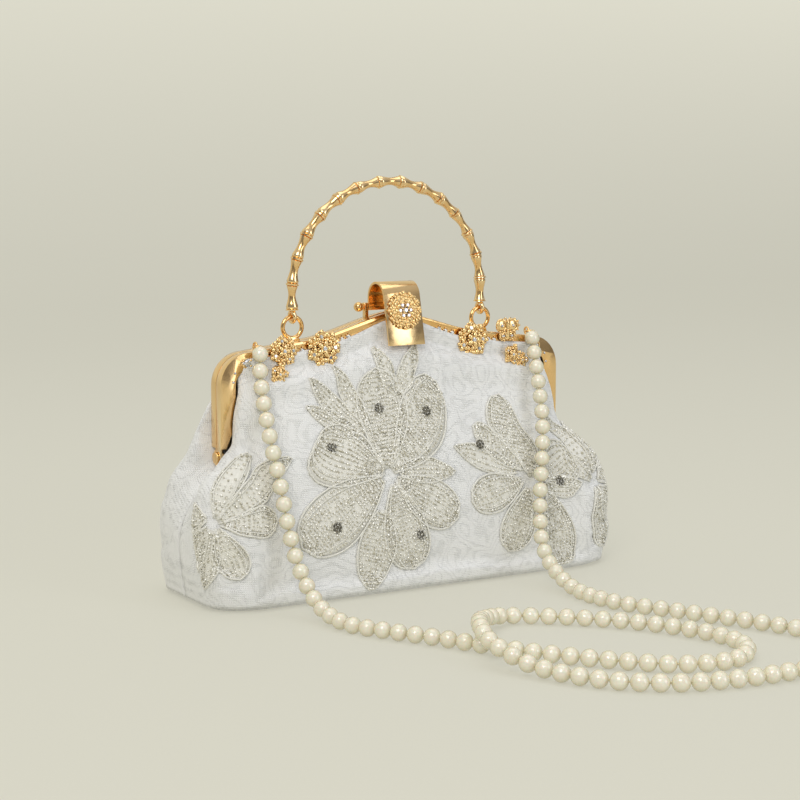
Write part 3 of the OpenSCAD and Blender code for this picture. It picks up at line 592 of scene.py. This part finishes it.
# half of one length of bamboo: place between two joints, and size against the bar's radius
segment = ((0, 1.3), (0.035, 1.34), (0.06, 1.02), (0.085, 1.16), (0.16, 1.2), (0.3, 0.98), (0.45, 0.8), (0.6, 0.76),
           (0.75, 0.86), (0.88, 1.06), (0.93, 1.14), (0.95, 0.98), (0.97, 1.28))
path, radii = [], []
draw = random.Random(5)
for k in range(knots):
    swell = draw.uniform(0.94, 1.06)
    for at, size in segment:
        path.append(on_handle((k + at) / knots))
        radii.append(tube_r * size * swell * 0.93)
path.append(on_handle(1))
radii.append(tube_r * 1.25)
bm = bmesh.new()
sweep(bm, path, radii, sides=10)
draw = random.Random(8)
for vert in bm.verts:
    vert.co += noise.noise_vector(vert.co * 190) * 0.3 * MM
for side in (-1, 1):
    centre = Vector((side * arch_r, bar_y, eye_z))
    circle = [centre + Vector((0, math.cos(a), math.sin(a))) * 2.75 * MM
              for a in [math.radians(20 * i) for i in range(18)]]
    sweep(bm, circle, 1.05 * MM, sides=8, closed=True)
    sweep(bm, [centre + Vector((0, 0, z * MM)) for z in (2.4, 3.2, 4.2, 5.2)],
          [1.3 * MM, 2.3 * MM, 3.0 * MM, 2.4 * MM], sides=12)
bmesh.ops.recalc_face_normals(bm, faces=bm.faces)
bar = new_piece("bamboo_handle", bm, gold, sharp=50)
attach(bar, "handle")
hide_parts("handle", "handle_knots")

# ---------------------------------------------------------------- castings and stones on the rail
# Small cast flowers, each a cluster of beaded florets round little claw-set stones, gold plated and soldered
# to the front rail, with a butterfly standing at the right.
cast, tree, shader = start_material("cast_gold_plate", Metallic=1.0, Roughness=0.2)
here = add(tree, "TexCoord").outputs["Object"]
# painted shade: where ambient occlusion finds crevices between florets and stones the colour darkens to brown, and
# in the open it turns pale gold
crevice_occlusion = add(tree, "AmbientOcclusion", {"Distance": 0.0016}, samples=6, only_local=False)
painted_crevice_shade = add(tree, "MapRange", {"Value": crevice_occlusion.outputs["AO"], "From Min": 0.12, "From Max": 0.62})
two_tone(tree, shader, painted_crevice_shade.outputs[0], "#9A5F22", "#FFDDA0")
grit = add(tree, "TexNoise", {"Scale": 900.0, "Detail": 3.0, "Vector": here})
emboss(tree, shader, grit.outputs["Fac"], 0.3, 0.0003)

# Cut lead glass with foiled backs: mirror-bright, with a cold flash from facet to facet
crystal, tree, shader = start_material("foiled_rhinestone", Metallic=0.85, Roughness=0.05, Coat_Weight=1.0,
                                       Coat_Roughness=0.03, IOR=1.6)
here = add(tree, "TexCoord").outputs["Object"]
# painted reflection: each small cell is coloured from blue-grey to white, standing in for the flash of light off the
# facets
painted_facet_flash = add(tree, "TexVoronoi", {"Scale": 1100.0, "Vector": here})
two_tone(tree, shader, painted_facet_flash.outputs["Color"], "#A9B2C4", "#FFFFFF")


def facing(place, out, roll=0.0):
    """Matrix that stands a piece on a surface at this place, its +Z along out"""
    return Matrix.Translation(place) @ Vector(out).to_track_quat("Z", "Y").to_matrix().to_4x4() \
        @ Matrix.Rotation(roll, 4, "Z")


def claw_stone(stones, metal, place, radius, claws=4):
    """A cut stone and the claws that hold it"""
    bmesh.ops.create_cone(stones, cap_ends=True, segments=8, radius1=radius, radius2=radius * 0.55,
                          depth=radius * 0.6, matrix=place @ Matrix.Translation((0, 0, radius * 0.3)))
    for i in range(claws):
        a = 2 * math.pi * (i + 0.5) / claws
        spot = place @ Matrix.Translation((radius * 1.02 * math.cos(a), radius * 1.02 * math.sin(a), radius * 0.25))
        bmesh.ops.create_icosphere(metal, subdivisions=1, radius=radius * 0.3, matrix=spot)


def floret(metal, stones, place, radius, petals, with_stone):
    """Round petals about a stone or a raised heart"""
    for i in range(petals):
        spot = place @ Matrix.Rotation(2 * math.pi * i / petals, 4, "Z") \
            @ Matrix.Translation((radius * 0.62, 0, radius * 0.18)) @ Matrix.Diagonal((1.15, 0.8, 0.62, 1))
        bmesh.ops.create_uvsphere(metal, u_segments=9, v_segments=6, radius=radius * 0.46, matrix=spot)
        tip = place @ Matrix.Rotation(2 * math.pi * (i + 0.5) / petals, 4, "Z") \
            @ Matrix.Translation((radius * 0.86, 0, radius * 0.14))
        bmesh.ops.create_icosphere(metal, subdivisions=1, radius=radius * 0.17, matrix=tip)
    if with_stone:
        claw_stone(stones, metal, place @ Matrix.Translation((0, 0, radius * 0.24)), radius * 0.42)
    else:
        bmesh.ops.create_icosphere(metal, subdivisions=2, radius=radius * 0.26,
                                   matrix=place @ Matrix.Translation((0, 0, radius * 0.34)))


def cluster(metal, stones, place, radius, around, draw):
    """A big casting: one floret in the middle and others about it, on a pierced back plate"""
    bmesh.ops.create_cone(metal, cap_ends=True, segments=20, radius1=radius * 0.8, radius2=radius * 0.66,
                          depth=radius * 0.16, matrix=place @ Matrix.Translation((0, 0, radius * 0.08)))
    floret(metal, stones, place @ Matrix.Translation((0, 0, radius * 0.24)), radius * 0.42, 5, True)
    for i in range(around):
        a = 2 * math.pi * i / around
        spot = place @ Matrix.Translation((radius * 0.68 * math.cos(a), radius * 0.68 * math.sin(a),
                                           radius * draw.uniform(0.08, 0.16))) \
            @ Matrix.Rotation(draw.uniform(0, 3), 4, "Z") @ Matrix.Rotation(draw.uniform(-0.25, 0.25), 4, "X")
        floret(metal, stones, spot, radius * 0.36, 5, i % 2 == 0)


def on_rail(x, drop, out=0.0):
    """Point in front of the rail, drop below its top edge"""
    return Vector((x, -face_y - 1.02 - out, rail_height(x) - drop)) * MM


draw = random.Random(11)
front = (0, -1, 0)
inner_x, outer_x = frame_w - 55, frame_w - 33
clusters = {"left_outer_blossom": [(-outer_x, 2.2, 0, 7.5), (-outer_x - 4, 12.5, 3.7, 5)],
            "left_inner_blossom": [(-inner_x, 5, 0, 9)], "right_inner_blossom": [(inner_x, 5, 0, 9)],
            "right_outer_blossom": [(outer_x + 1, 10.5, 3.7, 5.5), (outer_x + 7, 13, 3.7, 4)]}
for node, parts in clusters.items():
    metal, stones = bmesh.new(), bmesh.new()
    for x, drop, out, radius in parts:
        cluster(metal, stones, facing(on_rail(x, drop, out), front), radius * MM, 7 if radius > 6 else 5, draw)
        if out:
            sweep(metal, [on_rail(x, drop - 3, 0), on_rail(x, drop, out + 0.4)], 1.4 * MM, sides=8)
    made = new_piece(node + "_casting", metal, cast)
    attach(made, "bag")
    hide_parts(node)
    gems = new_piece(node + "_stones", stones, crystal, smooth=False)
    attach(gems, "bag")

# the butterfly: two pairs of pierced wings edged with beads, about a ribbed body
metal, stones = bmesh.new(), bmesh.new()
middle = on_rail(outer_x, 1)
for side in (-1, 1):
    for dx, dz, r in ((3.4, 5.2, 3.8), (2.6, -0.2, 2.7)):
        centre = middle + Vector((side * dx, -0.8, dz)) * MM
        ring = [centre + Vector((math.cos(a), -0.12 * math.cos(2 * a), math.sin(a))) * (r - 0.7) * MM
                for a in [math.radians(20 * i) for i in range(18)]]
        sweep(metal, ring, 0.75 * MM, sides=6, closed=True)
        bmesh.ops.create_uvsphere(metal, u_segments=12, v_segments=8, radius=(r - 0.8) * MM,
                                  matrix=Matrix.Translation(centre) @ Matrix.Diagonal((1, 0.22, 1, 1)))
        for i in range(9):
            a = math.radians(40 * i)
            spot = Matrix.Translation(centre + Vector((math.cos(a), -0.35, math.sin(a))) * (r - 0.2) * MM)
            bmesh.ops.create_icosphere(metal, subdivisions=1, radius=0.55 * MM, matrix=spot)
        claw_stone(stones, metal, facing(centre + Vector((0, -0.6, 0)) * MM, front), 0.95 * MM)
body_line = [middle + Vector((0, -1.3, z)) * MM for z in (-2.6, -1.6, 0, 2, 4, 6, 7.6, 8.4)]
sweep(metal, body_line, [0.5 * MM, 1.0 * MM, 0.8 * MM, 1.1 * MM, 0.85 * MM, 1.1 * MM, 1.0 * MM, 0.6 * MM], sides=10)
for side in (-1, 1):
    sweep(metal, [middle + Vector((side * x, -1.3, z)) * MM for x, z in ((0.3, 7.8), (1.0, 9.0), (2.0, 9.3))],
          0.3 * MM, sides=6)
made = new_piece("butterfly_casting", metal, cast)
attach(made, "bag")
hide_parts("butterfly")
gems = new_piece("butterfly_stones", stones, crystal, smooth=False)
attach(gems, "bag")

# stones set along the rail, and an oval one at each shoulder in a plain bezel
metal, stones = bmesh.new(), bmesh.new()
for x in (-inner_x - 10.9, -inner_x + 11.5, -inner_x + 15.3, inner_x - 19.5, inner_x - 15.5, inner_x - 11.5,
          inner_x + 10.9, inner_x + 14.5):
    claw_stone(stones, metal, facing(on_rail(x, 4, -0.5), front), 1.45 * MM, claws=6)
for side in (-1, 1):
    spot = Vector((side * (frame_w - 14), -face_y - 0.1, 115)) * MM
    claw_stone(stones, metal, facing(spot, front) @ Matrix.Diagonal((1.2, 0.85, 1, 1)), 2.2 * MM, claws=4)
    ring = [spot + Vector((2.9 * math.cos(a), 0, 2.1 * math.sin(a))) * MM for a in
            [math.radians(20 * i) for i in range(18)]]
    sweep(metal, ring, 0.45 * MM, sides=6, closed=True)
    for dx, dz in ((7.2, -9), (6.2, -4.6)):
        claw_stone(stones, metal, facing(spot + Vector((side * dx, 0, dz)) * MM, front), 0.7 * MM)
made = new_piece("rail_claws", metal, cast)
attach(made, "bag")
gems = new_piece("rail_stones", stones, crystal, smooth=False)
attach(gems, "bag")
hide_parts("frame_stones", "shoulder_stones")

# ---------------------------------------------------------------- clasp flower
# A pierced filigree rosette riveted to the tongue, with a cluster of seven stones at its heart.
low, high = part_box("clasp_flower")
lean = math.radians(12)
outward = Vector((0, -math.cos(lean), math.sin(lean)))
heart = (low + high) / 2 + outward * 0.1 * MM
metal, stones, draw = bmesh.new(), bmesh.new(), random.Random(3)
place = facing(heart, outward)
for ring_r, count, size in ((4.6, 9, 2.5), (7.6, 12, 2.2)):
    for i in range(count):
        a = 2 * math.pi * i / count
        spot = place @ Matrix.Translation((ring_r * math.cos(a) * MM, ring_r * math.sin(a) * MM, 0.1 * MM)) \
            @ Matrix.Rotation(draw.uniform(0, 3), 4, "Z")
        floret(metal, stones, spot, size * MM, 5, False)
for i in range(16):
    a = 2 * math.pi * i / 16
    bmesh.ops.create_icosphere(metal, subdivisions=1, radius=0.62 * MM, matrix=place @ Matrix.Translation(
        (9.4 * math.cos(a) * MM, 9.4 * math.sin(a) * MM, 0.3 * MM)))
claw_stone(stones, metal, place @ Matrix.Translation((0, 0, 1.1 * MM)), 1.5 * MM, claws=6)
for i in range(6):
    a = math.radians(60 * i)
    claw_stone(stones, metal, place @ Matrix.Translation((3 * math.cos(a) * MM, 3 * math.sin(a) * MM, 0.9 * MM)),
               1.15 * MM, claws=4)
made = new_piece("clasp_rosette", metal, cast)
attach(made, "clasp")
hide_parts("clasp_flower")
gems = new_piece("clasp_rosette_stones", stones, crystal, smooth=False)
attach(gems, "clasp")
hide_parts("clasp_stones")

# ---------------------------------------------------------------- satin lining and inner pocket
# Cream satin cut like the walls and hung a little inside them; a flat pocket is sewn to the back.
satin, tree, shader = start_material("cream_satin", Roughness=0.42, Sheen_Weight=0.35, Sheen_Roughness=0.3,
                                     Specular_IOR_Level=0.5, Anisotropic=0.4)
here = add(tree, "TexCoord").outputs["Object"]
wave = add(tree, "TexNoise", {"Scale": 34.0, "Detail": 3.0, "Vector": here})
two_tone(tree, shader, wave.outputs["Fac"], "#DCCFB4", "#EFE6D2")
# weave: floats 0.2 mm wide on the real cloth, drawn 0.5 mm wide
floats = add(tree, "TexWave", {"Scale": 320.0, "Distortion": 1.0, "Vector": here}, bands_direction="Z")
pucker = add(tree, "MapRange", {"Value": wave.outputs["Fac"], "To Max": 6.0})
mixed = add(tree, "Math", {0: floats.outputs["Fac"], 1: pucker.outputs[0]}, operation="ADD")
emboss(tree, shader, mixed.outputs[0], 0.35, 0.0003)

sheet, spots = wall_sheet(4.2, 0.04, 0.93, cols=90, rows=44)
sheet.normal_update()
for vert, (s, t) in zip(sheet.verts, spots):
    hang = noise.noise(Vector((s * 7, t * 3, 3.3))) * 1.3 + noise.noise(Vector((s * 19, t * 5, 8.8))) * 0.5
    vert.co -= vert.normal * max(0, hang + 0.6) * MM * min(1, (1 - t) / 0.2)
back = sheet.copy()
front_lining = new_piece("front_lining", sheet, satin)
bmesh.ops.transform(back, matrix=Matrix.Diagonal((1, -1, 1, 1)), verts=back.verts)
bmesh.ops.reverse_faces(back, faces=back.faces)
back_lining = new_piece("back_lining", back, satin)
for piece in (front_lining, back_lining):
    cloth_gauge = piece.modifiers.new("cloth", "SOLIDIFY")
    cloth_gauge.thickness, cloth_gauge.offset = 0.5 * MM, -1
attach(front_lining, "bag")
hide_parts("lining_front")
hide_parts("lining_back", "lining_mouth")
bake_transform(back_lining)
softened("inner_pocket", "pocket", satin, 0.2 * MM)

# ---------------------------------------------------------------- hidden parts of the make-up
# Grey board in the base, twisted paper cord packed into the channels, and the magnet with its steel plate.
board, tree, shader = start_material("grey_board", Roughness=0.85)
fibre = add(tree, "TexNoise", {"Scale": 700.0, "Detail": 4.0, "Vector": add(tree, "TexCoord").outputs["Object"]})
two_tone(tree, shader, fibre.outputs["Fac"], "#A79C88", "#C6BBA4")
emboss(tree, shader, fibre.outputs["Fac"], 0.3, 0.0002)
softened("base_board", "stiffener_board", board, 0.2 * MM)

kraft, tree, shader = start_material("twisted_paper_cord", Roughness=0.8)
lay = add(tree, "TexWave", {"Scale": 260.0, "Distortion": 1.5, "Vector": add(tree, "TexCoord").outputs["Object"]},
          bands_direction="DIAGONAL")
two_tone(tree, shader, lay.outputs["Fac"], "#9C835C", "#C9B48C")
emboss(tree, shader, lay.outputs["Fac"], 0.6, 0.0004)
softened("front_packing_cord", "front_cord_packing", kraft, 0.2 * MM)
softened("back_packing_cord", "back_cord_packing", kraft, 0.2 * MM, body="back_frame")

nickel, tree, shader = start_material("nickel_plated_steel", Metallic=1.0, Roughness=0.25)
grain = add(tree, "TexNoise", {"Scale": 500.0, "Detail": 3.0, "Vector": add(tree, "TexCoord").outputs["Object"]})
two_tone(tree, shader, grain.outputs["Fac"], "#B5B3AE", "#D6D4CE")
emboss(tree, shader, grain.outputs["Fac"], 0.15, 0.0002)
softened("catch_plate", "keeper_plate", nickel, 0.15 * MM)
softened("clasp_magnet", "magnet_disc", nickel, 0.15 * MM, body="clasp")

# ---------------------------------------------------------------- beaded lace
# Flowers of corded lace on fine net, each petal filled with rows of clear and silver-lined seed beads.
# They are sewn on in four patches; small foiled stones sit on the sprays.
bead, tree, shader = start_material("silver_lined_beads", Roughness=0.16, Coat_Weight=0.8, Coat_Roughness=0.05,
                                    Specular_IOR_Level=0.8)
mottle = add(tree, "TexNoise", {"Scale": 750.0, "Detail": 0.0, "Vector": add(tree, "TexCoord").outputs["Object"]})
# partly the beads' own tones and partly painted highlight: the mottle runs from olive-grey silver-lined beads to
# near-white, and the near-white end stands in for highlights
bead_tone_and_highlight = add(tree, "ValToRGB", {0: mottle.outputs["Fac"]})
bead_tone_and_highlight.color_ramp.elements[0].position, bead_tone_and_highlight.color_ramp.elements[0].color = 0.3, linear("#B8B39F")
bead_tone_and_highlight.color_ramp.elements[1].position, bead_tone_and_highlight.color_ramp.elements[1].color = 0.62, linear("#FBFAF4")
middle_tone = bead_tone_and_highlight.color_ramp.elements.new(0.5)
middle_tone.color = linear("#DEDBCD")
tree.links.new(bead_tone_and_highlight.outputs[0], shader.inputs["Base Color"])
glint = add(tree, "MapRange", {"Value": mottle.outputs["Fac"], "From Min": 0.5, "From Max": 0.56, "To Max": 0.3})
tree.links.new(glint.outputs[0], shader.inputs["Metallic"])

cording, tree, shader = start_material("rayon_cording", Roughness=0.5, Sheen_Weight=0.3)
twist = add(tree, "TexWave", {"Scale": 700.0, "Distortion": 1.0, "Vector": add(tree, "TexCoord").outputs["Object"]},
            bands_direction="DIAGONAL")
two_tone(tree, shader, twist.outputs["Fac"], "#E2E0D4", "#F6F5EF")
emboss(tree, shader, twist.outputs["Fac"], 0.5, 0.0002)

# petals of each patch: foot x, z, tip x, z, half width in millimetres, and 1 for a round tip or 0 for a pointed one
patches = {
    "centre": ((-21, 64, -25, 108, 18, 1), (-19, 63, 22, 101, 15.9, 1), (-23, 63, -74, 76, 12.7, 1),
               (-24, 60, -69, 31, 14.8, 1), (-25, 45, -36, 3, 10.1, 0), (-19, 57, -9, 14, 12.2, 1),
               (-17, 59, 17, 37, 11.7, 1), (-15, 63, 19, 60, 5.8, 0), (-38, 79, -77, 104, 5.3, 0),
               (-41, 78, -79, 93, 4.8, 0), (-34, 83, -57, 109, 5.3, 0), (-10, 97, -24, 118, 5.3, 0),
               (-10, 97, 10, 118, 5.3, 0)),
    "left": ((-109, 45, -85, 69, 6.5, 1), (-110, 46, -108, 71, 5.5, 1), (-108, 44, -81, 45, 7, 1),
             (-109, 42, -102, 19, 7, 1), (-111, 41, -118, 12, 5, 0), (-113, 42, -129, 20, 6, 1),
             (-114, 45, -130, 44, 6.5, 1)),
    "right": ((64, 53, 74, 92, 12.3, 1), (61, 57, 44, 78, 9, 1), (57, 57, 22, 70, 5.6, 0),
              (58, 52, 26, 44, 9.5, 1), (60, 48, 47, 17, 9.5, 1), (69, 52, 97, 59, 10.1, 1),
              (70, 47, 95, 46, 5.6, 0), (71, 45, 81, 2, 10.1, 1)),
    "corner": ((103, 50, 100, 82, 5.6, 0), (105, 51, 117, 72, 6.7, 1), (106, 46, 121, 50, 6.7, 1),
               (104, 43, 117, 27, 6.7, 1), (102, 43, 108, 11, 7.3, 1), (101, 47, 93, 61, 4.5, 0))}


def lace_point(x, z, out):
    """Point on the finished wall for a place across (mm from the middle) and up (mm from the table)"""
    a = abs(x)
    s = a / 89.5 * 0.72 if a < 89.5 else min(0.9, 0.72 + (a - 89.5) / 32 * 0.18)
    reach_up = rail_height(88 * min(1, s / 0.8)) - 2.2 - foot
    return on_cloth(s if x > 0 else -s, min(0.9, max(0.02, (z - foot) / reach_up)), out * MM)[0]


def gather(whole_patch, part):
    """Adds a finished part to its patch and empties the part"""
    kept = bpy.data.meshes.new("part")
    part.to_mesh(kept)
    part.free()
    whole_patch.from_mesh(kept)
    bpy.data.meshes.remove(kept)


def half_width(u, width, rounded):
    """Half the petal's width at u of its length"""
    if rounded:
        return width * (0.1 + 0.9 * math.sin(math.pi / 2 * min(1, u / 0.62))) if u < 0.62 \
            else width * math.sqrt(max(0, 1 - ((u - 0.62) / 0.38) ** 2))
    return width * math.sin(math.pi * (0.06 + 0.94 * u)) ** 0.8


draw = random.Random(21)
for patch, petals in patches.items():
    beads, cords, nets = bmesh.new(), bmesh.new(), bmesh.new()
    for x0, z0, x1, z1, width, rounded in petals:
        along = Vector((x1 - x0, z1 - z0))
        span = along.length
        along.normalize()
        across = Vector((-along.y, along.x))

        def spot(u, v, out):
            place = Vector((x0, z0)) + along * (u * span) + across * v
            return lace_point(place.x, place.y, out)

        # corded outline, and a second cord inside round petals
        for share, thick, out in ((1.0, 0.55, 0.7), (0.72, 0.38, 0.8)) if rounded else ((1.0, 0.5, 0.7),):
            rim = [spot(i / 16, half_width(i / 16, width, rounded) * share, out) for i in range(17)]
            rim += [spot(i / 16, -half_width(i / 16, width, rounded) * share, out) for i in range(15, -1, -1)]
            strip = bmesh.new()
            sweep(strip, rim, thick * MM, sides=5)
            gather(cords, strip)
        # rows of beads fanned from the petal's foot
        fill = bmesh.new()
        rows = max(3, round(2 * width / 2.1))
        for r in range(rows):
            lane = -0.84 + 1.68 * r / (rows - 1)
            steps = int(span / 1.75)
            for k in range(1, steps):
                u = (k + draw.uniform(-0.2, 0.2)) / steps
                spread = half_width(u, width, rounded)
                if spread * 2 / rows < 0.75 and r % 2 or draw.random() < 0.07:
                    continue
                big = 1.0 if draw.random() < 0.8 else 1.35
                bmesh.ops.create_icosphere(fill, subdivisions=1, radius=draw.uniform(0.52, 0.68) * big * MM,
                                           matrix=Matrix.Translation(spot(u, lane * spread, 0.75)))
        gather(beads, fill)
        # fine net behind the petal
        net = bmesh.new()
        bmesh.ops.create_grid(net, x_segments=12, y_segments=8, size=1)
        for vert in net.verts:
            u, v = (vert.co.x + 1) / 2, vert.co.y
            vert.co = spot(u, v * half_width(u, width, rounded), 0.28)
        gather(nets, net)
    bmesh.ops.remove_doubles(nets, verts=nets.verts, dist=1e-6)
    bmesh.ops.dissolve_degenerate(nets, dist=1e-7, edges=nets.edges)
    beadwork = new_piece(patch + "_beads", beads, bead)
    outline = new_piece(patch + "_cording", cords, cording)
    backing = new_piece(patch + "_net", nets, cording)
    gauge = backing.modifiers.new("net", "SOLIDIFY")
    gauge.thickness, gauge.offset = 0.25 * MM, 0
    for piece in (beadwork, outline, backing):
        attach(piece, "bag")
    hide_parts(patch + "_applique")

# foiled stones on the sprays, dark between their bright facets, each in a ring of small granules
smoky, tree, shader = start_material("smoky_glass", Metallic=0.6, Roughness=0.08, Coat_Weight=1.0,
                                     Coat_Roughness=0.03)
# partly the glass's own colour and partly painted reflection: the dark smoky tone is the stone's, the paler grey of
# some cells stands in for light flashing off the facets
cells = add(tree, "TexVoronoi", {"Scale": 900.0, "Vector": add(tree, "TexCoord").outputs["Object"]})
two_tone(tree, shader, cells.outputs["Color"], "#2A251C", "#8D8877")
metal, stones = bmesh.new(), bmesh.new()
for x, z in ((-26, 91), (9, 88), (-61, 73.5), (-50, 39), (-6, 31), (40, 69), (80, 49)):
    out = (lace_point(x, z, 2) - lace_point(x, z, 0)).normalized()
    place = facing(lace_point(x, z, 1.3), out)
    claw_stone(stones, metal, place, 0.9 * MM, claws=0)
    for i in range(7):
        a = 2 * math.pi * i / 7
        claw_stone(stones, metal, place @ Matrix.Translation((1.9 * math.cos(a) * MM, 1.9 * math.sin(a) * MM, 0)),
                   0.75 * MM, claws=0)
        bmesh.ops.create_icosphere(metal, subdivisions=1, radius=0.45 * MM, matrix=place @ Matrix.Translation(
            (2.9 * math.cos(a + 0.4) * MM, 2.9 * math.sin(a + 0.4) * MM, 0)))
made = new_piece("spray_granules", metal, bead)
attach(made, "bag")
gems = new_piece("spray_stones", stones, smoky, smooth=False)
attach(gems, "bag")
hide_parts("applique_stones")

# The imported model's box and this model's, for comparison
size = {"cad": cad_box, "visual": [list(corner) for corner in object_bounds()]}
